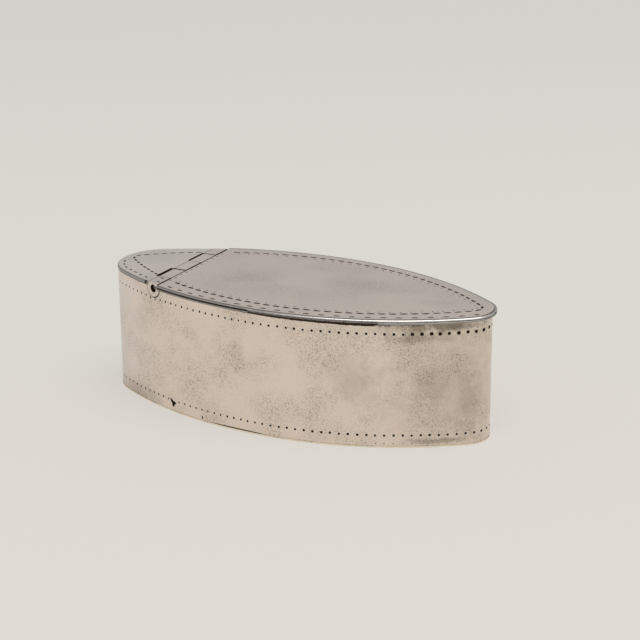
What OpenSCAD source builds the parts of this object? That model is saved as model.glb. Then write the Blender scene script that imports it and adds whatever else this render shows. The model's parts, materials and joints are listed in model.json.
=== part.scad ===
// Navette snuff box in sheet silver: a boat-shaped box with a flat base, a short fixed top at one
// end and a lid that turns on a flush five-knuckle hinge let into the top.
// The origin is at the middle of the base. X runs along the box, from the hinge end to the lid's
// free tip, Y runs across it and Z is up. Every size is in millimetres.

/* [Box] */
// Length of the side wall from tip to tip
box_l = 80; // [70:1:96]
// Width of the side wall across the middle
box_w = 35.4; // [30:0.2:42]
// Height from the underside of the base to the top of the lid
box_h = 25.4; // [18:0.2:34]
// Radius of the side wall's tip at the hinge end
hinge_tip_r = 9.3; // [6:0.1:12]
// Radius of the side wall's tip at the lid's free end
lid_tip_r = 5.7; // [4:0.1:10]

/* [Sheet] */
// Thickness of the side wall
wall_t = 0.7; // [0.5:0.05:1]
// Thickness of the base
base_t = 0.7; // [0.5:0.05:1.2]
// Thickness of the fixed top; the lid is thinner by its seat gap
top_t = 0.8; // [0.6:0.05:1]

/* [Edges] */
// How far the base stands out past the wall
base_overhang = 0.04; // [0.02:0.01:0.2]
// How far the fixed top's round edge stands out past the wall
top_overhang = 0.12; // [0.05:0.01:0.4]
// How far the wire round the lid stands out past the wall
rim_overhang = 0.86; // [0.7:0.02:1.4]
// Width of the lid's edge wire, from its flat back to its upper reed
rim_w = 0.54; // [0.45:0.01:0.58]
// Radius of the upper, larger reed of the lid's edge wire
rim_upper_r = 0.3; // [0.24:0.01:0.4]
// Radius of the lower, smaller reed of the lid's edge wire
rim_lower_r = 0.18; // [0.1:0.01:0.22]
// How far the lower reed lies behind the upper one
rim_step = 0.08; // [0:0.01:0.15]
// How far the two reeds run into each other
rim_merge = 0.05; // [0.02:0.01:0.08]

/* [Lid bezel] */
// How far the bezel reaches down inside the wall
bezel_h = 2.2; // [1.2:0.1:4]
// Thickness of the bezel
bezel_t = 0.6; // [0.4:0.05:1]
// Gap between the bezel and the inside of the wall
bezel_gap = 0.2; // [0.15:0.01:0.4]

/* [Hinge] */
// Distance from the hinge-end tip of the wall to the hinge axis
hinge_inset = 14.8; // [13:0.1:18]
// Depth of the hinge axis below the top of the box
axis_depth = 1.1; // [1.05:0.05:1.3]
// Diameter of the hinge tube, which is filed flat and flush with the top
knuckle_d = 3.3; // [3:0.05:3.8]
// Length of each of the three inner knuckles
knuckle_l = 5.8; // [4:0.1:6.4]
// End gap between neighbouring knuckles
knuckle_gap = 0.14; // [0.08:0.01:0.3]
// Diameter of the hinge pin
pin_d = 1.5; // [1:0.05:1.6]
// Gap all round the pin in the knuckles
pin_gap = 0.05; // [0.03:0.01:0.1]
// How far the pin's ends lie inside the outside of the wall
pin_recess = 0.8; // [0.2:0.05:2]
// Running gap between a knuckle and the hollow edge of the other leaf
run_gap = 0.13; // [0.1:0.01:0.2]
// Thickness of the hollow bearers below the knuckles
bearer_t = 0.6; // [0.4:0.05:0.9]
// Gap between the two bearers below the axis when the lid is shut
bearer_split = 0.3; // [0.2:0.05:0.6]

/* [Fits] */
// Gap between the lid and the wall it rests on
seat_gap = 0.05; // [0.02:0.01:0.1]
// Film of solder between curved faces that are joined
solder_t = 0.03; // [0.03:0.01:0.06]

/* [Hidden] */
$fn = 96;

lid_t = top_t - seat_gap;
wall_top = box_h - top_t;
lid_under = box_h - lid_t;

// Hinge axis, and the hollow about it that both plates and both bearers are cut to
axis_x = hinge_inset - box_l / 2;
axis_z = box_h - axis_depth;
hollow_r = knuckle_d / 2 + run_gap;
bearer_r = hollow_r + bearer_t;

// Longer than any piece, for cutting tools
reach = box_l + box_w + box_h;

silver = [0.74, 0.72, 0.69];
worn_silver = [0.66, 0.64, 0.61];
steel = [0.42, 0.41, 0.4];

// Outline
// Each half of the navette is two long side arcs and a tip arc, all tangent. The side arcs of both
// halves are square to the Y axis where they meet, so the halves join smoothly. The side radius
// is kept to a hundredth of a millimetre, and the tip's centre follows from it.

function side_radius(tip_r) = round(
    100 * ((box_l / 2 - tip_r) ^ 2 + (box_w / 2) ^ 2 - tip_r ^ 2) / (box_w - 2 * tip_r)
) / 100;
function side_offset(tip_r) = side_radius(tip_r) - box_w / 2;
function tip_centre(tip_r) = sqrt((side_radius(tip_r) - tip_r) ^ 2 - side_offset(tip_r) ^ 2);
function side_angle(tip_r) = atan2(tip_centre(tip_r), side_offset(tip_r));

// Half width of the wall's outside at a distance from the middle, on the side arcs
function half_width(x, tip_r) = sqrt(side_radius(tip_r) ^ 2 - x ^ 2) - side_offset(tip_r);

// Moves to the tip's centre, by whole micrometres and then by the rest, so that the arcs stay tangent
module at_tip(tip_r) {
    coarse = round(1000 * tip_centre(tip_r)) / 1000;
    translate([coarse, 0]) translate([tip_centre(tip_r) - coarse, 0]) children();
}

// All that lies behind a line across the box
module behind(x) {
    translate([x - 2 * reach, -reach]) square(2 * reach);
}

// One half of the outline, moved outwards by grow, with all that lies behind the middle left in
module half_navette(tip_r, grow) {
    tip_from = tip_centre(tip_r) + (tip_r + grow) * sin(side_angle(tip_r));
    intersection() {
        union() {
            intersection() {
                translate([0, -side_offset(tip_r)]) circle(side_radius(tip_r) + grow);
                translate([0, side_offset(tip_r)]) circle(side_radius(tip_r) + grow);
            }
            behind(0);
        }
        union() {
            at_tip(tip_r) circle(tip_r + grow);
            behind(tip_from);
        }
    }
}

// The outline, filled, moved outwards by grow
module navette(grow) {
    intersection() {
        half_navette(lid_tip_r, grow);
        mirror([1, 0]) half_navette(hinge_tip_r, grow);
    }
}

// A band between two offsets of the outline
module navette_ring(outer, inner) {
    difference() {
        navette(outer);
        navette(inner);
    }
}

// The wedge of the plane that belongs to a tip arc: its sides are where the arcs meet
module tip_wedge(tip_r) {
    phi = side_angle(tip_r);
    far = reach * [sin(phi), cos(phi)];
    translate([tip_centre(tip_r), 0]) polygon([[0, 0], [far.x, -far.y], far]);
}

// Sweeps a profile round half the outline: the profile's x is the distance outside the wall
module half_sweep(tip_r) {
    for (side = [-1, 1]) {
        difference() {
            intersection() {
                translate([0, -side * side_offset(tip_r), 0])
                    rotate_extrude() translate([side_radius(tip_r), 0]) children();
                translate([0, min(0, side * reach), -reach]) cube([reach, reach, 2 * reach]);
            }
            translate([0, 0, -reach]) linear_extrude(2 * reach) tip_wedge(tip_r);
        }
    }
    intersection() {
        at_tip(tip_r) rotate_extrude() translate([tip_r, 0]) children();
        translate([0, 0, -reach]) linear_extrude(2 * reach) tip_wedge(tip_r);
    }
}

// Cuts a piece off at an offset of the outline
module trim_to_outline(grow) {
    intersection() {
        children();
        linear_extrude(reach) navette(grow);
    }
}

// Hinge
// Sections of the hinge are drawn about its axis, with x towards the lid's tip and y up.

module along_hinge(y_from, y_to) {
    translate([axis_x, y_to, axis_z])
        rotate([90, 0, 0]) linear_extrude(y_to - y_from) children();
}

// Keeps what lies on one side of the hinge, with its edge hollowed to clear the knuckles
module hinge_leaf(toward) {
    difference() {
        intersection() {
            children();
            translate([axis_x + min(0, toward * reach), -reach / 2, 0]) cube(reach);
        }
        along_hinge(-box_w, box_w) circle(hollow_r);
    }
}

// The half of a disc on one leaf's side, from a distance off the axis
module leaf_side_disc(r, toward, from) {
    intersection() {
        circle(r);
        translate([toward > 0 ? from : -2 * r, -r]) square([2 * r - from, 2 * r]);
    }
}

// The outside of a knuckle: a tube that is fuller on its own leaf's side, where it is bedded
module knuckle_outside(toward, bed_from, film) {
    circle(d = knuckle_d + 2 * film);
    leaf_side_disc(hollow_r - solder_t + film, toward, bed_from);
}

// A knuckle is filed flat along the top, flush with the plates, and bored for the pin
module knuckle(y_from, y_to, toward, bed_from) {
    along_hinge(y_from, y_to) difference() {
        intersection() {
            knuckle_outside(toward, bed_from, 0);
            translate([-hollow_r, axis_depth - 2 * hollow_r]) square(2 * hollow_r);
        }
        circle(d = pin_d + 2 * pin_gap);
    }
}

module fixed_knuckle(y_from, y_to) {
    color(worn_silver) trim_to_outline(0) knuckle(y_from, y_to, -1, 0);
}

module lid_knuckle(y_from, y_to) {
    color(worn_silver) knuckle(y_from, y_to, 1, bearer_split);
}

// A hollow strip below one plate, which that leaf's knuckles are bedded in
module bearer_section(toward, from, plate_under) {
    intersection() {
        difference() {
            leaf_side_disc(bearer_r, toward, from);
            circle(hollow_r);
        }
        translate([-bearer_r, -bearer_r]) square([2 * bearer_r, bearer_r + plate_under - axis_z]);
    }
}

// Body

// The wall has a round-bottomed slot on each side, where the outer knuckles are let in
module side_wall() {
    slot_l = hollow_r;
    slot_r = knuckle_d / 2 + solder_t;
    color(silver) difference() {
        translate([0, 0, base_t]) linear_extrude(wall_top - base_t) navette_ring(0, -wall_t);
        along_hinge(-box_w, box_w) union() {
            knuckle_outside(-1, 0, solder_t);
            translate([-slot_l, 0]) square([slot_l + slot_r, knuckle_d]);
        }
    }
}

module base_plate() {
    color(silver) linear_extrude(base_t) navette(base_overhang);
}

// A plate with a full round edge
module fixed_top_plate() {
    edge_r = top_t / 2;
    round_at = top_overhang - edge_r;
    color(worn_silver) hinge_leaf(-1) translate([0, 0, wall_top]) union() {
        linear_extrude(top_t) navette(round_at - top_t / 2);
        mirror([1, 0, 0]) half_sweep(hinge_tip_r) union() {
            translate([round_at - top_t, 0]) square(top_t);
            translate([round_at, edge_r]) circle(edge_r);
        }
    }
}

module fixed_bearer() {
    color(silver) trim_to_outline(-wall_t - solder_t)
        along_hinge(-box_w, box_w) bearer_section(-1, 0, wall_top);
}

module fixed_knuckle_near() {
    fixed_knuckle(-box_w, (-3 * knuckle_l - knuckle_gap) / 2);
}

module fixed_knuckle_middle() {
    fixed_knuckle((knuckle_gap - knuckle_l) / 2, (knuckle_l - knuckle_gap) / 2);
}

module fixed_knuckle_far() {
    fixed_knuckle((3 * knuckle_l + knuckle_gap) / 2, box_w);
}

module hinge_pin() {
    pin_end = half_width(axis_x, hinge_tip_r) - pin_recess;
    color(steel) along_hinge(-pin_end, pin_end) circle(d = pin_d);
}

// Lid

module lid_plate() {
    lid_edge = rim_overhang - rim_w - solder_t;
    color(worn_silver) hinge_leaf(1)
        translate([0, 0, lid_under]) linear_extrude(lid_t) navette(lid_edge);
}

// Two reeds on a flat back: the upper one is level with the lid, the lower one is smaller
module rim_section() {
    back = rim_overhang - rim_w;
    upper = [rim_overhang - rim_upper_r, -rim_upper_r];
    lower = [rim_overhang - rim_step - rim_lower_r, rim_merge - 2 * rim_upper_r - rim_lower_r];
    intersection() {
        union() {
            translate(upper) circle(rim_upper_r);
            translate(lower) circle(rim_lower_r);
            translate([back, lower.y]) square([upper.x - back, upper.y - lower.y]);
        }
        translate([back, -reach]) square(2 * reach);
    }
}

module lid_rim() {
    color(silver) hinge_leaf(1) translate([0, 0, box_h]) union() {
        half_sweep(lid_tip_r) rim_section();
        mirror([1, 0, 0]) half_sweep(hinge_tip_r) rim_section();
    }
}

module lid_bezel() {
    outer = -wall_t - bezel_gap;
    start = axis_x + bearer_r + solder_t;
    color(silver) intersection() {
        translate([0, 0, lid_under - bezel_h])
            linear_extrude(bezel_h) navette_ring(outer, outer - bezel_t);
        translate([start, -reach / 2, 0]) cube(reach);
    }
}

module lid_bearer() {
    color(silver) trim_to_outline(-wall_t - bezel_gap)
        along_hinge(-box_w, box_w) bearer_section(1, bearer_split, lid_under);
}

module lid_knuckle_near() {
    lid_knuckle((knuckle_gap - 3 * knuckle_l) / 2, (-knuckle_l - knuckle_gap) / 2);
}

module lid_knuckle_far() {
    lid_knuckle((knuckle_l + knuckle_gap) / 2, (3 * knuckle_l - knuckle_gap) / 2);
}

side_wall();
base_plate();
fixed_top_plate();
fixed_bearer();
fixed_knuckle_near();
fixed_knuckle_middle();
fixed_knuckle_far();
hinge_pin();
lid_plate();
lid_rim();
lid_bezel();
lid_bearer();
lid_knuckle_near();
lid_knuckle_far();
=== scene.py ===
"""A navette snuff box in sheet silver, with a flush hinge and engraved borders.

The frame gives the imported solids, in metres. Each piece made here stands for one of them, and the
hinge's two bearers are shown as they are.
"""

import json
import math
import random

import bmesh
import bpy
from mathutils import Matrix, Quaternion, Vector


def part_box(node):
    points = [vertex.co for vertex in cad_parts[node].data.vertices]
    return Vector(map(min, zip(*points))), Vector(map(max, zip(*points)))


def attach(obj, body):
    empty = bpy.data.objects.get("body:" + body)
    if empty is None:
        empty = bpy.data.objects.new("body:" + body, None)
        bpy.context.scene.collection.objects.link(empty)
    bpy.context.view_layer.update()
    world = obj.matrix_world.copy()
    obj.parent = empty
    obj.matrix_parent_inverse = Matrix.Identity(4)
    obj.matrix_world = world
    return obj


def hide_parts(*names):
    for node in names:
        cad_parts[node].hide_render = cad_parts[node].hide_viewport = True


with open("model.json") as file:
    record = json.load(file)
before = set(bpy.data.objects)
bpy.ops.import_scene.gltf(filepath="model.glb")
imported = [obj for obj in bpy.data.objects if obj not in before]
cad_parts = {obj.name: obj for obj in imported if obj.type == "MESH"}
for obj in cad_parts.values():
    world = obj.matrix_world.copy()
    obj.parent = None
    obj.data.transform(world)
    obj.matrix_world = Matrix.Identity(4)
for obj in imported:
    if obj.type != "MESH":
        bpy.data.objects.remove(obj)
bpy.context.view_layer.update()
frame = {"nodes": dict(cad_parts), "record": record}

# The view: a long lens from a little above, on the box's near side and towards the lid's free tip.
mm = 0.001
aim = Vector((4.53, 0, 18.35)) * mm
azimuth = math.radians(27.47)
elevation = math.radians(18.88)
distance = 353.3 * mm
roll = math.radians(-0.37)
towards_camera = Vector((
    math.sin(azimuth) * math.cos(elevation),
    -math.cos(azimuth) * math.cos(elevation),
    math.sin(elevation),
))
camera = bpy.data.objects.new("camera", bpy.data.cameras.new("camera"))
camera.data.lens = 102.35
camera.data.sensor_width = 36
camera.location = aim + distance * towards_camera
level_view = towards_camera.to_track_quat("Z", "Y")
camera.rotation_euler = (level_view @ Quaternion((0, 0, 1), roll)).to_euler()
bpy.context.collection.objects.link(camera)
bpy.context.scene.camera = camera

# Side wall: one strip of sheet silver bent to the boat shape, with its ends soldered. Two rows of
# holes are pricked in it from outside, and a slot on each side takes the hinge's outer knuckles.
wall_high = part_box("side_wall")[1]
half_l = wall_high.x
half_w = wall_high.y
wall_t = 0.7 * mm
foot_z = 0.36 * mm
lid_tip_r = 5.7 * mm
hinge_tip_r = 9.3 * mm
axis = Vector(frame["record"]["behaviour"]["joints"][0]["pos_m"])


def navette_arcs(length, width, lid_end_r, hinge_end_r):
    """Centre, radius and turn of a navette's arcs, from the near side's middle by the lid's tip."""
    arcs = []
    for end, tip_r in ((1, lid_end_r), (-1, hinge_end_r)):
        tip_x = length - tip_r
        side_r = (tip_x ** 2 + width ** 2 - tip_r ** 2) / (2 * (width - tip_r))
        side_y = side_r - width
        side_turn = math.atan2(tip_x, side_y)
        arcs.append(((0, end * side_y), side_r, side_turn))
        arcs.append(((end * tip_x, 0), tip_r, math.pi - 2 * side_turn))
        arcs.append(((0, -end * side_y), side_r, side_turn))
    return arcs


wall_arcs = navette_arcs(half_l, half_w, lid_tip_r, hinge_tip_r)
far_hinge_side = wall_arcs[3]
near_hinge_side = wall_arcs[5]


def on_wall(x, side):
    """A point of the wall's outside in its hinge half, near side -1 or far side 1, and the way out."""
    centre, radius, _ = near_hinge_side if side < 0 else far_hinge_side
    out = Vector((x, side * math.sqrt(radius ** 2 - x ** 2), 0)) / radius
    return Vector((*centre, 0)) + out * radius, out


def draw_section(bm, points, closed):
    """A section across the near side's middle, from distances outside the wall and heights."""
    verts = [bm.verts.new((0, -half_w - out, height)) for out, height in points]
    edges = [bm.edges.new(pair) for pair in zip(verts, verts[1:])]
    if closed:
        edges.append(bm.edges.new((verts[-1], verts[0])))
    return verts + edges


def spin_on(bm, section, centre, turn, steps):
    """Carries a section round an arc and gives its far end."""
    made = bmesh.ops.spin(
        bm, geom=section, cent=(*centre, 0), axis=(0, 0, 1), angle=turn, steps=steps
    )
    return made["geom_last"]


touching = 0.001 * mm


def close_up(bm):
    """Joins the two ends of a full turn and turns the faces outwards."""
    bmesh.ops.remove_doubles(bm, verts=bm.verts, dist=touching)
    bmesh.ops.recalc_face_normals(bm, faces=bm.faces)


crease = math.radians(35)


def finish_piece(bm, name, materials):
    """Makes an object of a mesh, smooth apart from its creases."""
    for face in bm.faces:
        face.smooth = True
    for edge in bm.edges:
        if edge.is_manifold:
            edge.smooth = edge.calc_face_angle() < crease
    mesh = bpy.data.meshes.new(name)
    bm.to_mesh(mesh)
    bm.free()
    for material in materials:
        mesh.materials.append(material)
    piece = bpy.data.objects.new(name, mesh)
    bpy.context.collection.objects.link(piece)
    return piece


def add_node(tree, kind, inputs=None, **settings):
    """A shader node with its settings, and with values or links in its inputs."""
    made = tree.nodes.new(kind)
    for key, value in settings.items():
        setattr(made, key, value)
    for key, value in (inputs or {}).items():
        if isinstance(value, bpy.types.NodeSocket):
            tree.links.new(value, made.inputs[key])
        else:
            made.inputs[key].default_value = value
    return made


def noise(tree, place, scale, detail=2, roughness=0.5):
    """An uneven value over the surface, at a scale per metre."""
    made = add_node(tree, "ShaderNodeTexNoise", {
        "Vector": place, "Scale": scale, "Detail": detail, "Roughness": roughness,
    })
    return made.outputs["Fac"]


def ranged(tree, value, low=0, high=1, to=(0, 1), curve="LINEAR"):
    """A value taken from one range to another, and held inside it."""
    made = add_node(tree, "ShaderNodeMapRange", {
        "Value": value, "From Min": low, "From Max": high, "To Min": to[0], "To Max": to[1],
    }, interpolation_type=curve)
    return made.outputs["Result"]


def reckon(tree, operation, *values):
    """The result of a sum on values or links."""
    return add_node(tree, "ShaderNodeMath", dict(enumerate(values)), operation=operation).outputs["Value"]


def mixed(tree, factor, *colours):
    """A colour between two, each given as three numbers or as a link."""
    first, second = [(*colour, 1) if isinstance(colour, tuple) else colour for colour in colours]
    made = add_node(tree, "ShaderNodeMix", {
        "Factor": factor, "A": first, "B": second,
    }, data_type="RGBA")
    return made.outputs["Result"]


def relief(tree, height, strength, depth, under=None, sunk=False):
    """The normal of a surface with raised or sunk marks, over an earlier normal if there is one."""
    inputs = {"Height": height, "Strength": strength, "Distance": depth}
    if under is not None:
        inputs["Normal"] = under
    return add_node(tree, "ShaderNodeBump", inputs, invert=sunk).outputs["Normal"]


def new_group(name, inputs, outputs):
    """An empty shader node group with named sockets, and its two end nodes."""
    tree = bpy.data.node_groups.new(name, "ShaderNodeTree")
    for label, kind in inputs:
        tree.interface.new_socket(label, in_out="INPUT", socket_type="NodeSocket" + kind)
    for label, kind in outputs:
        tree.interface.new_socket(label, in_out="OUTPUT", socket_type="NodeSocket" + kind)
    return tree, tree.nodes.new("NodeGroupInput"), tree.nodes.new("NodeGroupOutput")


def tarnish_group():
    """Tarnish on old silver: soft clouds, and fine specks that gather in patches."""
    tree, given, result = new_group(
        "tarnish",
        [("Vector", "Vector"), ("Cloud Scale", "Float"), ("Speck Scale", "Float")],
        [("Clouds", "Float"), ("Specks", "Float")],
    )
    place = given.outputs["Vector"]
    drift = add_node(tree, "ShaderNodeTexNoise", {
        "Vector": place, "W": 1.3, "Scale": given.outputs["Cloud Scale"], "Detail": 3, "Roughness": 0.5,
    }, noise_dimensions="4D").outputs["Fac"]
    clouds = ranged(tree, drift, 0.3, 0.72, curve="SMOOTHSTEP")
    patches = ranged(tree, drift, 0.4, 0.64, to=(0.18, 1), curve="SMOOTHSTEP")
    dots = ranged(tree, noise(tree, place, given.outputs["Speck Scale"], roughness=0.7), 0.51, 0.66)
    tree.links.new(clouds, result.inputs["Clouds"])
    tree.links.new(reckon(tree, "MULTIPLY", dots, patches), result.inputs["Specks"])
    return tree


def hairline_group():
    """Hairline scratches from wear: two crossing sets of fine, broken lines."""
    tree, given, result = new_group(
        "hairlines", [("Vector", "Vector"), ("Fineness", "Float")], [("Lines", "Float")]
    )
    sets = []
    for turn, stretch in ((8, 0.05), (-23, 0.08)):
        turned = add_node(tree, "ShaderNodeMapping", {
            "Vector": given.outputs["Vector"],
            "Rotation": (0, 0, math.radians(turn)),
            "Scale": (stretch, 1, 1),
        })
        streaks = noise(tree, turned.outputs["Vector"], given.outputs["Fineness"])
        sets.append(ranged(tree, streaks, 0.62, 0.74))
    tree.links.new(reckon(tree, "MAXIMUM", *sets), result.inputs["Lines"])
    return tree


def stain_group():
    """One stain: strongest at its centre, and fading out with an uneven edge."""
    tree, given, result = new_group(
        "stain", [("Vector", "Vector"), ("Centre", "Vector"), ("Reach", "Vector")], [("Mask", "Float")]
    )
    place = given.outputs["Vector"]
    away = add_node(tree, "ShaderNodeVectorMath", {
        0: place, 1: given.outputs["Centre"],
    }, operation="SUBTRACT")
    share = add_node(tree, "ShaderNodeVectorMath", {
        0: away.outputs["Vector"], 1: given.outputs["Reach"],
    }, operation="DIVIDE")
    far = add_node(tree, "ShaderNodeVectorMath", {0: share.outputs["Vector"]}, operation="LENGTH")
    raggedness = -1.8
    edge = noise(tree, place, 420, detail=8, roughness=0.78)
    uneven = reckon(tree, "MULTIPLY_ADD", edge, raggedness, far.outputs["Value"])
    mask = ranged(tree, uneven, -0.85, 0.1, to=(1, 0), curve="SMOOTHSTEP")
    tree.links.new(mask, result.inputs["Mask"])
    return tree


tarnish = tarnish_group()
hairlines = hairline_group()
stain = stain_group()


def new_material(name):
    """A material with its shader, and the place of each point on the piece."""
    material = bpy.data.materials.new(name)
    material.use_nodes = True
    tree = material.node_tree
    place = tree.nodes.new("ShaderNodeTexCoord").outputs["Object"]
    return material, tree, tree.nodes["Principled BSDF"], place


def add_stains(tree, place, amount, stains):
    """Adds stains to an amount of tarnish. Each has a centre and a reach in mm, and a strength."""
    for centre, reach, strength in stains:
        mark = add_node(tree, "ShaderNodeGroup", {"Vector": place}, node_tree=stain)
        mark.inputs["Centre"].default_value = Vector(centre) * mm
        mark.inputs["Reach"].default_value = Vector(reach) * mm
        amount = reckon(tree, "MULTIPLY_ADD", mark.outputs["Mask"], strength, amount)
    return amount


def stained_share(tree, place, stains):
    """How far some stains cover each point, from none to all."""
    amount = add_stains(tree, place, 0, stains)
    return add_node(tree, "ShaderNodeClamp", {"Value": amount}).outputs["Result"]


def silver(
    name, clean, dull, clouds, roughness, fineness, pitting=0.6, stains=(), cool_reflection=(), shaded_black=()
):
    """Old silver: clean to dull in tarnish and stains, cooler in a painted reflection, black in painted
    shade.
    """
    cool_reflection_colour = (0.815, 0.752, 0.72)
    shade_black_colour = (0.03, 0.025, 0.02)
    cloud_strength = 0.1
    speck_strength = 0.74
    specks_left_on_grey = 0.25
    material, tree, shader, place = new_material(name)
    film = add_node(tree, "ShaderNodeGroup", {
        "Vector": place, "Cloud Scale": clouds, "Speck Scale": 3500,
    }, node_tree=tarnish)
    scratches = add_node(tree, "ShaderNodeGroup", {
        "Vector": place, "Fineness": fineness,
    }, node_tree=hairlines)
    colour = clean
    specks = film.outputs["Specks"]
    if cool_reflection:
        cool = stained_share(tree, place, cool_reflection)
        colour = mixed(tree, cool, clean, cool_reflection_colour)
        specks = reckon(tree, "MULTIPLY", specks, ranged(tree, cool, to=(1, specks_left_on_grey)))
    cloudy = reckon(tree, "MULTIPLY", film.outputs["Clouds"], cloud_strength)
    specked = reckon(tree, "MULTIPLY_ADD", specks, speck_strength, cloudy)
    amount = add_stains(tree, place, specked, stains)
    colour = mixed(tree, amount, colour, dull)
    shader.inputs["Metallic"].default_value = 1
    if shaded_black:
        shade_share = stained_share(tree, place, shaded_black)
        colour = mixed(tree, shade_share, colour, shade_black_colour)
        tree.links.new(reckon(tree, "SUBTRACT", 1, shade_share), shader.inputs["Metallic"])
    dents = relief(tree, noise(tree, place, 70, detail=1), 0.3, 0.3 * mm)
    pits = relief(tree, specks, pitting, 0.06 * mm, under=dents, sunk=True)
    worn = relief(tree, scratches.outputs["Lines"], 0.15, 0.02 * mm, under=pits, sunk=True)
    tree.links.new(colour, shader.inputs["Base Color"])
    tree.links.new(ranged(tree, amount, to=roughness), shader.inputs["Roughness"])
    tree.links.new(worn, shader.inputs["Normal"])
    return material


def grime_and_shade_black(name):
    """Black grime and tarnish packed in cuts and joints, also used as painted shade in gaps and under the
    rim.
    """
    darkest = (0.02, 0.011, 0.005)
    palest = (0.06, 0.04, 0.024)
    material, tree, shader, place = new_material(name)
    colour = mixed(tree, noise(tree, place, 3000), darkest, palest)
    tree.links.new(colour, shader.inputs["Base Color"])
    shader.inputs["Roughness"].default_value = 0.75
    shader.inputs["Specular IOR Level"].default_value = 0.1
    return material


wall_silver = silver(
    "wall_silver", clean=(0.88, 0.762, 0.667), dull=(0.40, 0.325, 0.26),
    clouds=120, roughness=(0.26, 0.42), fineness=900,
    stains=(
        ((30, -9.8, 21.6), (11, 8, 1.5), 0.45),
        ((34.5, -7, 24), (10, 8, 1.6), 0.85),
        ((31.8, -8.6, 12), (5, 5, 5), 0.22),
        ((19, -14.5, 13), (7, 5, 8), 0.3),
        ((-4, -17.5, 16), (2.5, 3, 6), 0.16),
        ((-29, -11.3, 17.5), (3.5, 4, 3.5), 0.18),
        ((-33, -9, 0.8), (16, 12, 3.2), 0.4),
        ((37.5, -4, 9), (3, 4, 9), 0.24),
        ((34, -7.3, 1.3), (10, 8, 0.8), 0.6),
        ((28, -11, 23.7), (10, 7, 1.9), 0.32),
        ((36, -6, 12), (22, 16, 24), 0.3),
        ((-39, -5, 12), (8, 9, 30), 0.14),
    ),
    # The hinge end is cooler, a painted reflection of cooler light from that side, and less specked with
    # tarnish.
    cool_reflection=(
        ((-43, -3, 14), (28, 20, 40), 1.0),
    ),
    # Black painted shade just under the rim on the near side, where the gap below the rim is in shade.
    shaded_black=(
        ((24, -13, 24.6), (26, 8, 0.9), 1.0),
        ((36, -6, 23.6), (7, 6, 0.9), 0.35),
    ),
)
grime_and_shade = grime_and_shade_black("grime_and_shade")
# Brighter silver on the holes' burrs: a painted highlight.
burr_highlight_silver = silver(
    "burr_highlight_silver", clean=(0.97, 0.9, 0.82), dull=(0.6, 0.52, 0.44),
    clouds=120, roughness=(0.24, 0.4), fineness=900,
)

# The wall's finishes by number. On each piece the bare silver comes first, and then any grime or painted
# shade.
bare = 0
grime_or_shade = 1
burr_highlight = 2
wall_finish = [wall_silver, grime_and_shade, burr_highlight_silver]

# The strip's section has a narrow band for each row of holes, and a lip at the top under the lid.
row_half = 0.36 * mm
lower_row_z = 2.45 * mm
upper_row_z = 22.45 * mm
lip_h = 0.34 * mm
lip_z = wall_high.z - lip_h
panel_rows = 8
panel_low = lower_row_z + row_half
panel_high = upper_row_z - row_half
panel_step = (panel_high - panel_low) / panel_rows
heights = [foot_z, lower_row_z - row_half]
heights += [panel_low + panel_step * row for row in range(panel_rows + 1)]
heights += [upper_row_z + row_half, lip_z, wall_high.z]
wall_section = [(0, height) for height in heights]
wall_section += [(-wall_t, wall_high.z), (-wall_t, foot_z)]

# The strip is bent step by step, and every second step leaves a face for a hole. The holes lie a
# little closer together in the hinge half. They are taken from the foot up, so each run is the same.
lid_half_pitch = 1.68 * mm
hinge_half_pitch = 1.52 * mm
half_pitches = 3 * [lid_half_pitch] + 3 * [hinge_half_pitch]


def height_of(face):
    """The height of a face's middle."""
    return face.calc_center_median().z


bm = bmesh.new()
section = draw_section(bm, wall_section, closed=True)
pricked = []
foot_strip = []
for (centre, radius, turn), half_pitch in zip(wall_arcs, half_pitches):
    dots = round(radius * turn / half_pitch)
    half_step = turn / dots / 2
    for _ in range(dots):
        section = spin_on(bm, section, centre, half_step, 1)
        made = len(bm.faces)
        section = spin_on(bm, section, centre, half_step, 1)
        bm.faces.ensure_lookup_table()
        for face in sorted(bm.faces[made:], key=height_of):
            height = height_of(face)
            if min(abs(height - lower_row_z), abs(height - upper_row_z)) < row_half / 2:
                pricked.append(face)
            elif height < lower_row_z:
                foot_strip.append(face)
close_up(bm)

# Each hole is a pressed eight-sided pit with a raised burr, whose brighter silver is a painted highlight.
# They vary, as hand work does, and grow
# a little towards the lid's tip, where grime hides the upper burrs. The foot has smaller ones, also
# on its underside, where the base hides them.
hole_margin = 0.09 * mm
hole_corner = 0.15 * mm
hole_sides = 8
foot_row_z = 0.85 * mm
foot_row_from = 20 * mm
foot_row_to = 37 * mm
torn_at = Vector((-20.5, -14.6, 2.3)) * mm
pit_at = Vector((-12.8, -16.5, 1.2)) * mm


def nearest(faces, spot):
    """The face whose middle is nearest to a spot."""
    return min(faces, key=lambda face: (face.calc_center_median() - spot).length)


pricked.remove(nearest(pricked, torn_at))
for face in foot_strip:
    middle = face.calc_center_median()
    if foot_row_from < middle.x < foot_row_to and middle.y < 0:
        pricked.append(face)
pricked.append(nearest(foot_strip, pit_at))
bmesh.ops.inset_individual(bm, faces=pricked, thickness=hole_margin)
for face in pricked:
    face.material_index = grime_or_shade
spots = [face.calc_center_median() for face in pricked]
corners = list(dict.fromkeys(vert for face in pricked for vert in face.verts))
bmesh.ops.bevel(
    bm, geom=corners, offset=hole_corner, affect="VERTICES", segments=1, profile=0.5, material=-1
)

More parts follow.
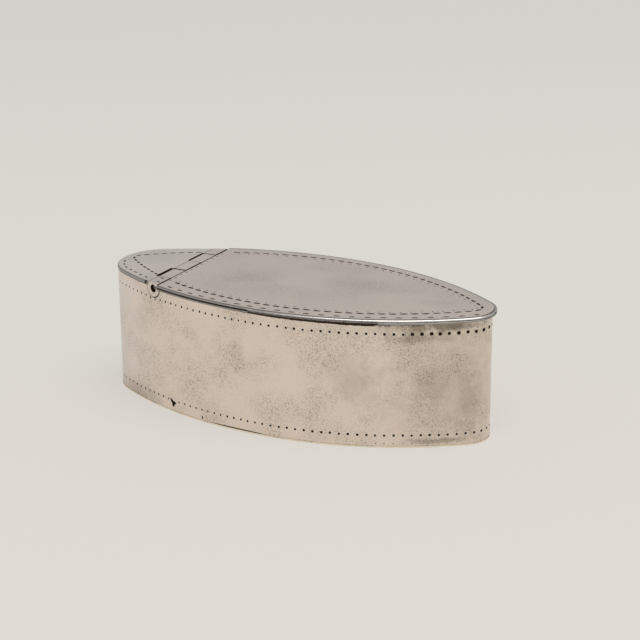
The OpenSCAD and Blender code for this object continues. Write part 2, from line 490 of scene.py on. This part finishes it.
# The bevel can leave its faces in any order, so the holes are taken again in the order of pricking.
eight_sided = [face for face in bm.faces if face.material_index and len(face.verts) == hole_sides]
pits = [nearest(eight_sided, spot) for spot in spots]
least_size = 0.82
size_spread = 0.14
upper_growth = 0.12
lower_growth = 0.06
hole_squeeze = 0.92
hole_stretch = 1.1
stray_along = 0.07 * mm
stray_up = 0.05 * mm
foot_hole = (0.56, 0.2)
foot_pit = (0.75, 0.4)
by_slot = 1 * mm
slot_drop = 0.2 * mm
hand = random.Random(7)
for face in pits:
    middle = face.calc_center_median()
    along = Vector((-face.normal.y, face.normal.x, 0))
    growth = upper_growth if middle.z > panel_high else lower_growth
    size = least_size + size_spread * hand.random() + growth * middle.x / half_l
    height = size
    shift = along * hand.uniform(-stray_along, stray_along)
    shift.z = hand.uniform(-stray_up, stray_up)
    if middle.z < lower_row_z - row_half:
        size, height = foot_hole if middle.x > 0 else foot_pit
        shift.z = foot_row_z - middle.z
    elif abs(middle.x - axis.x) < by_slot and middle.z > panel_high:
        shift.z = -slot_drop
    pressed = Matrix.Diagonal((size * hole_squeeze, size * hole_squeeze, height * hole_stretch, 1))
    bmesh.ops.transform(bm, matrix=pressed, space=Matrix.Translation(-middle), verts=face.verts)
    bmesh.ops.translate(bm, vec=shift, verts=face.verts)
burr_w = 0.07 * mm
burr_h = 0.015 * mm
burrs = bmesh.ops.inset_individual(bm, faces=pits, thickness=burr_w, depth=burr_h)
packed_from = 28 * mm
for face in burrs["faces"]:
    middle = face.calc_center_median()
    packed = middle.x > packed_from and middle.y < 0 and middle.z > panel_high
    face.material_index = grime_or_shade if packed else burr_highlight
pit_taper = 0.05 * mm
pit_depth = 0.25 * mm
bmesh.ops.inset_individual(bm, faces=pits, thickness=pit_taper, depth=-pit_depth)

# On part of the near side the solder has gone from the foot, and leaves a thin dark gap.
gap_from = -10.5 * mm
gap_to = 2 * mm
gap_h = 0.2 * mm
level = 0.01 * mm
for vert in bm.verts:
    share = (vert.co.x - gap_from) / (gap_to - gap_from)
    if 0 < share < 1 and vert.co.y < 0 and vert.co.z < foot_z + level:
        vert.co.z += gap_h * math.sin(math.pi * share) ** 0.5

# Under the rim on the near side a black line is painted as the shade of the gap below the rim, and it
# widens towards the lid's tip.
shade_from = -23 * mm
shade_to = 23.2 * mm
shade_widening = 0.38 * mm
shade_spread = (0.8, 1.1)
upright = 0.5
shade_jitter = random.Random(5)
for face in bm.faces:
    middle = face.calc_center_median()
    on_lip = middle.z > lip_z and abs(face.normal.z) < upright
    if on_lip and middle.y < 0 and shade_from < middle.x < shade_to:
        face.material_index = grime_or_shade
for vert in bm.verts:
    share = (vert.co.x - shade_from) / (shade_to - shade_from)
    if 0 < share < 1 and vert.co.y < 0 and abs(vert.co.z - lip_z) < level:
        vert.co.z -= shade_widening * share ** 2 * shade_jitter.uniform(*shade_spread)

lying = Matrix.Rotation(math.pi / 2, 4, "X")


def push_out(bm, way):
    """Gives a flat shape its depth, along a way."""
    pushed = bmesh.ops.extrude_face_region(bm, geom=bm.faces[:])["geom"]
    moved = [item for item in pushed if isinstance(item, bmesh.types.BMVert)]
    bmesh.ops.translate(bm, vec=way, verts=moved)
    bmesh.ops.recalc_face_normals(bm, faces=bm.faces)


def punch(place, length, height, depth, sides):
    """A prism that goes through a sheet: length along x, depth along y and height along z."""
    tool = bmesh.new()
    facing = place @ Matrix.Translation((0, -depth / 2, 0)) @ lying
    shape = facing @ Matrix.Diagonal((length / 2, height / 2, 1, 1))
    bmesh.ops.create_circle(tool, segments=sides, radius=1, matrix=shape, cap_ends=True)
    push_out(tool, place.to_3x3() @ Vector((0, depth, 0)))
    return tool


def cut_away(bm, tool, materials):
    """Takes one mesh out of another, and leaves black in the cut: grime, and painted shade where the cut
    is a gap.
    """
    for face in tool.faces:
        face.material_index = grime_or_shade
    pair = []
    for mesh_in_work in (bm, tool):
        mesh = bpy.data.meshes.new("in_work")
        mesh_in_work.to_mesh(mesh)
        mesh_in_work.free()
        for material in materials:
            mesh.materials.append(material)
        pair.append(bpy.data.objects.new("in_work", mesh))
        bpy.context.collection.objects.link(pair[-1])
    cutting = pair[0].modifiers.new("cut", "BOOLEAN")
    cutting.object = pair[1]
    cutting.operation = "DIFFERENCE"
    result = bmesh.new()
    result.from_object(pair[0], bpy.context.evaluated_depsgraph_get())
    for item in pair:
        bpy.data.objects.remove(item)
    return result


# The slots on the two sides are one round punch through the box, drawn out upwards.
bed_r = 1.75 * mm
slot_gap = 0.13 * mm
slot_w = 2 * (bed_r + slot_gap)
slot_up = 4 * mm
slot_sides = 48
tool = punch(Matrix.Translation(axis), slot_w, slot_w, 4 * half_w, slot_sides)
for vert in tool.verts:
    if vert.co.z > axis.z:
        vert.co.z += slot_up
bm = cut_away(bm, tool, wall_finish)

# One hole of the lower row has torn open in three ragged arms, the longest up towards the hinge end.
torn_size = 1.15 * mm
torn_along = 0.15 * mm
torn_below = 0.65 * mm
torn_turn = math.radians(44)
torn_long_arm = 1.7
torn_arms = 3
torn_arm_depth = 0.33
torn_corners = 15
torn_rag = 0.06 * mm
torn_point, torn_out = on_wall(torn_at.x, -1)
wall_way = Vector((-torn_out.y, torn_out.x, 0))
torn_point += wall_way * torn_along
torn_point.z = lower_row_z - torn_below
torn_frame = Matrix((wall_way, -torn_out, Vector((0, 0, 1)))).transposed().to_4x4()
torn_frame = torn_frame @ Matrix.Rotation(torn_turn, 4, "Y")
torn_place = Matrix.Translation(torn_point) @ torn_frame
tool = punch(torn_place, torn_size, torn_size, 4 * wall_t, torn_corners)
for vert in tool.verts:
    spot = torn_place.inverted() @ vert.co
    lobe = 1 - torn_arm_depth * math.cos(torn_arms * math.atan2(spot.z, spot.x))
    spot.x *= lobe * (torn_long_arm if spot.x < 0 else 1)
    spot.z *= lobe
    vert.co = torn_place @ spot
    vert.co += wall_way * hand.uniform(-torn_rag, torn_rag)
    vert.co.z += hand.uniform(-torn_rag, torn_rag)
bm = cut_away(bm, tool, wall_finish)
wall = finish_piece(bm, "wall", wall_finish)
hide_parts("side_wall")
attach(wall, "box")

# Base: a flat plate of sheet silver, soldered under the wall. Its edge is rebated to take the
# wall's foot, and filed round below.
base_low, base_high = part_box("base_plate")
base_edge = base_high.y - half_w
base_round = 0.08 * mm
rebate_z = 0.34 * mm
rebate_gap = 0.03 * mm
rebate_out = -wall_t - rebate_gap
sweep_step = 1 * mm


def sweep(bm, section):
    """Carries a section all the way round the wall's outline."""
    for centre, radius, turn in wall_arcs:
        section = spin_on(bm, section, centre, turn, round(radius * turn / sweep_step))
    close_up(bm)


def fill_flat(bm):
    """Closes a swept edge to a plate, with a flat face above and below."""
    bmesh.ops.edgeloop_fill(bm, edges=[edge for edge in bm.edges if edge.is_boundary])
    bmesh.ops.recalc_face_normals(bm, faces=bm.faces)


bm = bmesh.new()
sweep(bm, draw_section(bm, [
    (rebate_out, base_high.z),
    (rebate_out, rebate_z),
    (base_edge, rebate_z),
    (base_edge, base_low.z + base_round),
    (base_edge - base_round / 3, base_low.z + base_round / 3),
    (base_edge - base_round, base_low.z),
], closed=False))
for face in bm.faces:
    if height_of(face) > rebate_z - level:
        face.material_index = grime_or_shade
fill_flat(bm)
# A brighter, warmer silver for the base, whose thin edge shows as a warm line: a painted reflection of the
# lit floor.
base_warm_lit_silver = silver(
    "base_warm_lit_silver", clean=(0.96, 0.84, 0.67), dull=(0.5, 0.42, 0.34),
    clouds=120, roughness=(0.26, 0.42), fineness=900,
)
base = finish_piece(bm, "base", [base_warm_lit_silver, grime_and_shade])
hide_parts("base_plate")
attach(base, "box")

# Fixed top: a small plate of sheet silver soldered on the wall at the hinge end. Its outer edge is
# rounded, its inner edge is hollowed for the hinge, and a double border is cut in it with a graver.
top_low, top_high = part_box("fixed_top_plate")
hollow_r = 1.78 * mm
fixed_silver = silver(
    "fixed_silver", clean=(0.875, 0.80, 0.725), dull=(0.42, 0.40, 0.37),
    clouds=90, roughness=(0.24, 0.40), fineness=1100, pitting=0.15,
)
# A dark grey copy of silver: painted shade on faces turned away from the light.
shaded_edge_silver = silver(
    "shaded_edge_silver", clean=(0.42, 0.40, 0.38), dull=(0.2, 0.19, 0.18),
    clouds=200, roughness=(0.25, 0.4), fineness=1100, pitting=0.1,
)
shaded_edge = 2
top_finish = [fixed_silver, grime_and_shade, shaded_edge_silver]


def oval(out, height, half_width, half_height, start, stop, steps):
    """Section points on an oval, from one angle in degrees to another."""
    points = []
    for step in range(steps + 1):
        angle = math.radians(start + (stop - start) * step / steps)
        points.append((out + half_width * math.cos(angle), height + half_height * math.sin(angle)))
    return points


def hinge_cut(side, low_z, high_z):
    """Point and outward normal of a hollow hinge edge, taken as a sloping cut."""
    low_x = math.sqrt(hollow_r ** 2 - (low_z - axis.z) ** 2)
    high_x = math.sqrt(hollow_r ** 2 - (high_z - axis.z) ** 2)
    slope = Vector((side * (low_x - high_x), 0, low_z - high_z))
    return Vector((axis.x + side * high_x, 0, high_z)), slope.cross(Vector((0, -side, 0)))


def slice_off(bm, point, normal):
    """Takes off what lies past a plane, and gives the edges of the cut."""
    cut = bmesh.ops.bisect_plane(
        bm, geom=bm.verts[:] + bm.edges[:] + bm.faces[:], dist=touching / 10,
        plane_co=point, plane_no=normal, clear_outer=True,
    )
    return [item for item in cut["geom_cut"] if isinstance(item, bmesh.types.BMEdge)]


def cut_off(bm, point, normal, finish, edge=0):
    """Takes off what lies past a plane and closes the cut, and breaks its upper edge where asked."""
    edges = slice_off(bm, point, normal)
    for face in bmesh.ops.edgenet_fill(bm, edges=edges)["faces"]:
        face.material_index = finish
    bmesh.ops.recalc_face_normals(bm, faces=bm.faces)
    if edge:
        upper = [item for item in edges if min(vert.co.z for vert in item.verts) > point.z - touching]
        bmesh.ops.bevel(
            bm, geom=upper, offset=edge, affect="EDGES", segments=1, profile=0.5, material=finish
        )


graver_w = 0.05 * mm
graver_depth = 0.08 * mm
leaf_corners = 8
facing_up = 0.999


def engrave(bm, top_z, strokes):
    """Cuts a graver's strokes in a flat top. Each is a long narrow leaf with grime in it."""
    flat = []
    for face in bm.faces:
        if face.normal.z > facing_up and abs(height_of(face) - top_z) < touching:
            flat.append(face)
    edges = []
    for face in flat:
        edges += [edge for edge in face.edges if any(side not in flat for side in edge.link_faces)]
    bmesh.ops.delete(bm, geom=flat, context="FACES_KEEP_BOUNDARY")
    leaf_edges = []
    for place, length, width in strokes:
        shape = place @ Matrix.Diagonal((length / 2, width / 2, 1, 1))
        leaf = bmesh.ops.create_circle(bm, segments=leaf_corners, radius=1, matrix=shape)["verts"]
        leaf_edges += list(dict.fromkeys(edge for vert in leaf for edge in vert.link_edges))
    bmesh.ops.triangle_fill(bm, edges=edges + leaf_edges, use_beauty=True, normal=(0, 0, 1))
    cuts = bmesh.ops.edgeloop_fill(bm, edges=leaf_edges)["faces"]
    bmesh.ops.recalc_face_normals(bm, faces=bm.faces)
    bm.normal_update()
    sides = bmesh.ops.inset_individual(bm, faces=cuts, thickness=graver_w, depth=-graver_depth)
    for face in sides["faces"] + cuts:
        face.material_index = grime_or_shade


def border_places(arcs, inside, pitch, height, shift_y):
    """Places at a pitch along a line inside some arcs, with x along it and y towards the edge."""
    places = []
    start = -math.pi / 2
    for centre, radius, turn in arcs:
        line_r = radius - inside
        count = round(line_r * turn / pitch)
        for step in range(count):
            angle = start + turn * (step + 0.5) / count
            spot = Vector((
                centre[0] + line_r * math.cos(angle),
                centre[1] + line_r * math.sin(angle) + shift_y,
                height,
            ))
            places.append(Matrix.Translation(spot) @ Matrix.Rotation(angle - math.pi / 2, 4, "Z"))
        start += turn
    return places


edge_r = (top_high.z - top_low.z) / 2
edge_out = 0.12 * mm
hinge_edge = 0.1 * mm
lit_facing_up = 0.92
round_edge = oval(edge_out - edge_r, top_low.z + edge_r, edge_r, edge_r, start=-90, stop=90, steps=10)
bm = bmesh.new()
sweep(bm, draw_section(bm, round_edge, closed=False))
# The round edge's faces that turn away from above take the dark grey silver: painted shade.
for face in bm.faces:
    if face.normal.z < lit_facing_up:
        face.material_index = shaded_edge
fill_flat(bm)
# The hollowed hinge edge is black: grime and painted shade in the hinge's gap.
cut_off(bm, *hinge_cut(-1, top_low.z, top_high.z), grime_or_shade, hinge_edge)

# The border's outer row follows the edge on the near side. The inner row is a slimmer navette of
# its own, a little off the box's middle line.
border_arcs = navette_arcs(
    length=37.9 * mm, width=15.55 * mm, lid_end_r=2.2 * mm, hinge_end_r=2 * mm
)
border_shift = 0.6 * mm
outer_inside = 1.25 * mm
outer_pitch = 2 * mm
outer_stroke = (1.05 * mm, 0.4 * mm)
outer_to_y = -1.5 * mm
inner_pitch = 1.75 * mm
inner_stroke = (1.35 * mm, 0.48 * mm)
border_to_x = axis.x - 2.2 * mm
strokes = []
for place in border_places(wall_arcs, outer_inside, outer_pitch, top_high.z, 0):
    spot = place.translation
    if spot.x < border_to_x and spot.y < outer_to_y:
        strokes.append((place, *outer_stroke))
for place in border_places(border_arcs, 0, inner_pitch, top_high.z, border_shift):
    if place.translation.x < border_to_x:
        strokes.append((place, *inner_stroke))
engrave(bm, top_high.z, strokes)

# Beside the lid's knuckles the plate's edge is cut back, and its near corner is broken off.
cut_back_w = 0.9 * mm
cut_back_h = 0.5 * mm
near_cut_x = axis.x - 2.1 * mm
far_cut_x = axis.x - 1.85 * mm


def cut_back(bm, node, edge_x, side, top_z, finish):
    """Cuts a plate's upper edge back to a line, beside a knuckle of the other leaf."""
    low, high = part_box(node)
    middle = (edge_x - side * cut_back_w / 2, (low.y + high.y) / 2, top_z)
    room = Matrix.Diagonal((cut_back_w, high.y - low.y, 2 * cut_back_h, 1))
    tool = bmesh.new()
    bmesh.ops.create_cube(tool, size=1, matrix=Matrix.Translation(middle) @ room)
    return cut_away(bm, tool, finish)


bm = cut_back(bm, "lid_knuckle_near", near_cut_x, -1, top_high.z, top_finish)
bm = cut_back(bm, "lid_knuckle_far", far_cut_x, -1, top_high.z, top_finish)
notch_l = 0.7 * mm
notch_h = 0.75 * mm
notch_depth = 0.8 * mm
notch_down = 0.3 * mm
notch_corners = 7
notch_at, notch_out = on_wall(border_to_x, -1)
notch_at.z = top_high.z - notch_down
notch = Matrix.Translation(notch_at) @ Matrix.Rotation(math.atan2(-notch_out.x, notch_out.y), 4, "Z")
bm = cut_away(bm, punch(notch, notch_l, notch_h, notch_depth, notch_corners), top_finish)
fixed_top = finish_piece(bm, "fixed_top", top_finish)
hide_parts("fixed_top_plate")
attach(fixed_top, "box")

# Hinge knuckles: five lengths of silver tube on one pin, soldered by turns to the fixed top and to
# the lid. They are filed flat and flush along the top, and the outer two are let into the wall.
tube_r = 1.65 * mm
bore_r = 0.8 * mm
tube_sides = 64
bedded_from = 0.1 * mm
joint_top_z = top_high.z - 0.55 * mm
square_on = 0.9
top_silver = silver(
    "top_silver", clean=(0.845, 0.745, 0.66), dull=(0.40, 0.37, 0.34),
    clouds=90, roughness=(0.24, 0.40), fineness=1100, pitting=0.15,
    stains=(
        ((-12, -2, 25.4), (8, 5, 3), 0.16),
        ((10, 4, 25.4), (12, 5, 3), 0.14),
        ((29, 0, 25.4), (6, 3, 3), 0.16),
    ),
)


def knuckle(name, node, side, trimmed=0, worn=0, strokes=()):
    """A knuckle bedded on one side, filed level with the wall at a trimmed end, or worn at its far end."""
    low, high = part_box(node)
    high.y -= worn
    bm = bmesh.new()
    facing = Matrix.Translation((axis.x, low.y, axis.z)) @ lying
    outer = bmesh.ops.create_circle(bm, segments=tube_sides, radius=tube_r, matrix=facing)["verts"]
    bedded = [vert for vert in outer if (vert.co.x - axis.x) * side > bedded_from]
    fuller = Matrix.Diagonal((bed_r / tube_r, 1, bed_r / tube_r, 1))
    bmesh.ops.transform(bm, matrix=fuller, space=Matrix.Translation(-axis), verts=bedded)
    bmesh.ops.create_circle(bm, segments=tube_sides, radius=bore_r, matrix=facing)
    bmesh.ops.bridge_loops(bm, edges=bm.edges)
    slice_off(bm, (0, 0, top_high.z), (0, 0, 1))
    push_out(bm, (0, high.y - low.y, 0))
    # Faces in the bore, beside the plates and at the fixed knuckles' ends take the black: grime and
    # painted shade in the hinge's gaps.
    for face in bm.faces:
        middle = face.calc_center_median()
        in_bore = (middle - Vector((axis.x, middle.y, axis.z))).length < bore_r + level
        beside_plate = middle.z > joint_top_z and face.normal.z < square_on
        at_end = abs(face.normal.y) > square_on
        if in_bore or beside_plate or (side < 0 and at_end):
            face.material_index = grime_or_shade
    if trimmed:
        edges = slice_off(bm, *on_wall(axis.x, trimmed))
        for face in bmesh.ops.bridge_loops(bm, edges=edges)["faces"]:
            face.material_index = bare
        bmesh.ops.recalc_face_normals(bm, faces=bm.faces)
    if strokes:
        engrave(bm, top_high.z, strokes)
    piece = finish_piece(bm, name, [top_silver, grime_and_shade])
    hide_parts(node)
    return piece


# Two strokes of the border cross the near knuckle.
crossing_w = 0.42 * mm
crossing_turn = math.radians(-22.7)
crossing = []
for along, across, length in ((-0.1, -9.45, 1.1), (0.5, -11.75, 1.0)):
    spot = Matrix.Translation((axis.x + along * mm, across * mm, top_high.z))
    crossing.append((spot @ Matrix.Rotation(crossing_turn, 4, "Z"), length * mm, crossing_w))
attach(knuckle("knuckle_near", "fixed_knuckle_near", -1, trimmed=-1, strokes=crossing), "box")
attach(knuckle("knuckle_middle", "fixed_knuckle_middle", -1), "box")
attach(knuckle("knuckle_far", "fixed_knuckle_far", -1, trimmed=1), "box")
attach(knuckle("lid_knuckle_1", "lid_knuckle_near", 1, worn=0.4 * mm), "lid")
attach(knuckle("lid_knuckle_2", "lid_knuckle_far", 1, worn=0.25 * mm), "lid")

# Bearers: two hollow strips of silver soldered under the plates, in which the knuckles are bedded.
# Their solids have the right shape already, and only take the finish of the plates.
for node in ("fixed_bearer", "lid_bearer"):
    bearer = frame["nodes"][node]
    bearer.data.materials.clear()
    bearer.data.materials.append(top_silver)

# Hinge pin: a length of iron wire through all five knuckles, with its ends rounded and filed a
# little short. The near end shows in its bore, dark and pitted with rust.
pin_r = 0.75 * mm
pin_short = 0.02 * mm
pin_round = 0.2 * mm
pin_sides = 32
iron = (0.34, 0.3, 0.25)
rusty_iron = (0.18, 0.155, 0.125)
pin_low, pin_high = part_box("hinge_pin")
pin_l = pin_high.y - pin_low.y - 2 * pin_short
pin_iron, tree, shader, place = new_material("pin_iron")
rust = noise(tree, place, 1800, detail=4)
tree.links.new(mixed(tree, rust, iron, rusty_iron), shader.inputs["Base Color"])
tree.links.new(relief(tree, rust, 0.3, 0.05 * mm), shader.inputs["Normal"])
shader.inputs["Metallic"].default_value = 1
shader.inputs["Roughness"].default_value = 0.5
bm = bmesh.new()
pin_place = Matrix.Translation((axis.x, 0, axis.z)) @ lying
bmesh.ops.create_cone(
    bm, cap_ends=True, segments=pin_sides, radius1=pin_r, radius2=pin_r, depth=pin_l, matrix=pin_place
)
ends = [edge for edge in bm.edges if abs(edge.verts[0].co.y - edge.verts[1].co.y) < level]
bmesh.ops.bevel(
    bm, geom=ends, offset=pin_round, affect="EDGES", segments=3, profile=0.5, material=-1
)
pin = finish_piece(bm, "pin", [pin_iron])
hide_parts("hinge_pin")
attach(pin, "box")

# Lid: a flat plate of sheet silver, hollowed along its hinge edge. Its border, with a dot beside
# each stroke of the inner row, and a line of ticks along the hinge are cut in it with a graver.
lid_low, lid_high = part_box("lid_plate")
lid_edge = lid_high.y - half_w
lid_bevel = 0.06 * mm
lid_hinge_edge = 0.15 * mm
lid_finish = [top_silver, grime_and_shade]
bm = bmesh.new()
sweep(bm, draw_section(bm, [
    (lid_edge, lid_low.z),
    (lid_edge, lid_high.z - lid_bevel),
    (lid_edge - lid_bevel, lid_high.z),
], closed=False))
# The narrow bevel along the top edge is black: a painted dark line of shade between the lid and the rim.
for face in bm.faces:
    if height_of(face) > lid_high.z - lid_bevel:
        face.material_index = grime_or_shade
fill_flat(bm)
# The hollowed hinge edge is black: grime and painted shade in the hinge's gap.
cut_off(bm, *hinge_cut(1, lid_low.z, lid_high.z), grime_or_shade, lid_hinge_edge)

lid_inner_pitch = 2 * mm
lid_stroke_l = 1.55 * mm
lid_stroke_w = 0.53 * mm
broad_stroke_w = 0.67 * mm
broad_to_x = 30 * mm
dot_beside = Matrix.Translation((0.6 * mm, -1.0 * mm, 0))
dot_stroke = (0.3 * mm, 0.4 * mm)
lid_outer_inside = 0.7 * mm
lid_outer_pitch = 2.8 * mm
lid_outer_stroke = (1.35 * mm, 0.5 * mm)
lid_border_from_x = axis.x + 3 * mm
strokes = []
for place in border_places(border_arcs, 0, lid_inner_pitch, lid_high.z, border_shift):
    spot = place.translation
    if spot.x > lid_border_from_x:
        broad = spot.y < 0 and spot.x < broad_to_x
        strokes.append((place, lid_stroke_l, broad_stroke_w if broad else lid_stroke_w))
        strokes.append((place @ dot_beside, *dot_stroke))
for place in border_places(wall_arcs, lid_outer_inside, lid_outer_pitch, lid_high.z, 0):
    spot = place.translation
    if spot.x > lid_border_from_x and spot.y < 0:
        strokes.append((place, *lid_outer_stroke))
tick_x = axis.x + 2.15 * mm
tick_pitch = 2 * mm
tick_count = 11
tick_stroke = (0.7 * mm, 0.24 * mm)
for tick in range(tick_count):
    spot = (tick_x, tick_pitch * (tick - (tick_count - 1) / 2), lid_high.z)
    place = Matrix.Translation(spot) @ Matrix.Rotation(math.pi / 2, 4, "Z")
    strokes.append((place, *tick_stroke))
engrave(bm, lid_high.z, strokes)

# Beside the fixed knuckles the lid's edge is cut back a little, so that it clears them.
lid_cut_x = axis.x + 1.72 * mm
for node in ("fixed_knuckle_near", "fixed_knuckle_middle", "fixed_knuckle_far"):
    bm = cut_back(bm, node, lid_cut_x, 1, lid_high.z, lid_finish)
lid = finish_piece(bm, "lid", lid_finish)
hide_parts("lid_plate")
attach(lid, "lid")

# Rim: a drawn silver wire of two reeds, soldered round the lid's edge. A band of bright silver on its
# upper reed is a painted highlight, and the dark grey and black round it are painted shade. It is darker
# as painted shade at its hinge end and its tip, and holds grime and painted shade in its groove and below.
rim_low, rim_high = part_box("lid_rim")
rim_back = 0.32 * mm
upper_reed_h = 0.24 * mm
upper_reed_w = 0.289 * mm
upper_reed_out = 0.571 * mm
upper_reed_z = rim_high.z - upper_reed_h
lower_reed_r = 0.21 * mm
lower_reed_out = 0.6 * mm
lower_reed_z = rim_low.z + lower_reed_r
rim_silver = silver(
    "rim_silver", clean=(0.90, 0.87, 0.84), dull=(0.45, 0.42, 0.40),
    clouds=160, roughness=(0.12, 0.3), fineness=1400, pitting=0.1,
    # These stains darken the rim at the hinge end and at the tip: painted shade where the lamp is not
    # reflected.
    stains=(
        ((-24, -14, 25), (37, 25, 30), 2.5),
        ((41, 0, 25), (7, 6, 30), 0.6),
    ),
)
bm = bmesh.new()
rim_section = [(rim_back, rim_low.z)]
rim_section += oval(
    upper_reed_out, upper_reed_z, upper_reed_w, upper_reed_h, start=150, stop=-80, steps=20
)
rim_section += oval(
    lower_reed_out, lower_reed_z, lower_reed_r, lower_reed_r, start=75, stop=-90, steps=8
)
sweep(bm, draw_section(bm, rim_section, closed=True))
lying_flat = 0.88
turned_down = -0.5
highlight_z = rim_high.z - 0.17 * mm
wide_highlight_z = rim_high.z - 0.28 * mm
groove_z = rim_low.z + 0.3 * mm
shade_from_x = -1 * mm
shade_to_x = 24 * mm
# Flat faces are dark grey, and faces above a height bright: a painted highlight, reaching lower towards
# the tip. On the near side from the middle, faces above the groove are dark grey and those under it black,
# short of the tip: painted shade under the rim. Elsewhere the groove and underside are black, grime and
# painted shade, and the lower reed's upper faces dark grey.
for face in bm.faces:
    middle = face.calc_center_median()
    near = middle.y < 0
    wide_highlight = near and middle.x > shade_to
    if abs(face.normal.z) > lying_flat:
        finish = shaded_edge
    elif middle.z > (wide_highlight_z if wide_highlight else highlight_z):
        finish = bare
    elif near and middle.x > shade_from_x:
        finish = shaded_edge if middle.z > groove_z or middle.x > shade_to_x else grime_or_shade
    else:
        finish = shaded_edge if middle.z < groove_z and face.normal.z > turned_down else grime_or_shade
    face.material_index = finish
cut_off(bm, *hinge_cut(1, rim_low.z, rim_high.z), bare)
rim = finish_piece(bm, "rim", [rim_silver, grime_and_shade, shaded_edge_silver])
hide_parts("lid_rim")
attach(rim, "lid")

# Bezel: a strip of silver soldered upright under the lid, which slides inside the wall. Its lower
# edge is rounded so that it finds its way in.
bezel_low, bezel_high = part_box("lid_bezel")
bezel_t = 0.6 * mm
bezel_round = 0.18 * mm
bezel_out = -0.9 * mm
bezel_in = bezel_out - bezel_t
bm = bmesh.new()
sweep(bm, draw_section(bm, [
    (bezel_out, bezel_high.z),
    (bezel_out, bezel_low.z + bezel_round),
    (bezel_out - bezel_round / 3, bezel_low.z + bezel_round / 3),
    (bezel_out - bezel_round, bezel_low.z),
    (bezel_in + bezel_round, bezel_low.z),
    (bezel_in + bezel_round / 3, bezel_low.z + bezel_round / 3),
    (bezel_in, bezel_low.z + bezel_round),
    (bezel_in, bezel_high.z),
], closed=True))
cut_off(bm, bezel_low, (-1, 0, 0), bare)
bezel = finish_piece(bm, "bezel", [top_silver])
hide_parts("lid_bezel")
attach(bezel, "lid")

# Floor: a wide pale sheet of paper, a little darker and cooler away from the camera. Part of what
# the eye and the silver see of it is its own even glow, and the rest takes light and shadow.
paper_colour = (0.745, 0.715, 0.67, 1)
near_glow = (0.745, 0.715, 0.662)
far_glow = (0.655, 0.645, 0.618)
near_paper = -0.08
far_paper = 0.42
paper_half = 4
glow_share = 0.65
paper, tree, shader, place = new_material("paper")
shader.inputs["Base Color"].default_value = paper_colour
shader.inputs["Roughness"].default_value = 0.9
shader.inputs["Specular IOR Level"].default_value = 0.1
turned = add_node(tree, "ShaderNodeMapping", {"Vector": place, "Rotation": (0, 0, -azimuth)})
sides = add_node(tree, "ShaderNodeSeparateXYZ", {"Vector": turned.outputs["Vector"]})
depth = ranged(tree, sides.outputs["Y"], near_paper, far_paper)
glow = add_node(tree, "ShaderNodeEmission", {"Color": mixed(tree, depth, near_glow, far_glow)})
ray = add_node(tree, "ShaderNodeLightPath")
mirrored = reckon(tree, "MAXIMUM", ray.outputs["Is Glossy Ray"], ray.outputs["Is Transmission Ray"])
seen = reckon(tree, "MAXIMUM", ray.outputs["Is Camera Ray"], mirrored)
sheet = add_node(tree, "ShaderNodeMixShader", {
    0: reckon(tree, "MULTIPLY", seen, glow_share),
    1: shader.outputs["BSDF"],
    2: glow.outputs["Emission"],
})
tree.links.new(sheet.outputs["Shader"], tree.nodes["Material Output"].inputs["Surface"])
bm = bmesh.new()
bmesh.ops.create_grid(bm, x_segments=1, y_segments=1, size=paper_half)
floor = finish_piece(bm, "floor", [paper])

# Light: an even pale room, and one large soft lamp above and a little to the right.
world = bpy.data.worlds.new("studio")
bpy.context.scene.world = world
world.use_nodes = True
room_light = world.node_tree.nodes["Background"]
room_light.inputs["Color"].default_value = (0.53, 0.53, 0.525, 1)
room_light.inputs["Strength"].default_value = 1
softbox = bpy.data.lights.new("softbox", "AREA")
softbox.shape = "RECTANGLE"
softbox.size = 3.2
softbox.size_y = 2.24
softbox.energy = 33
overhead = bpy.data.objects.new("softbox", softbox)
overhead.location = (0.68, -0.44, 2.0)
overhead.rotation_euler = overhead.location.to_track_quat("Z", "Y").to_euler()
bpy.context.collection.objects.link(overhead)

bpy.context.scene.view_settings.view_transform = "Standard"
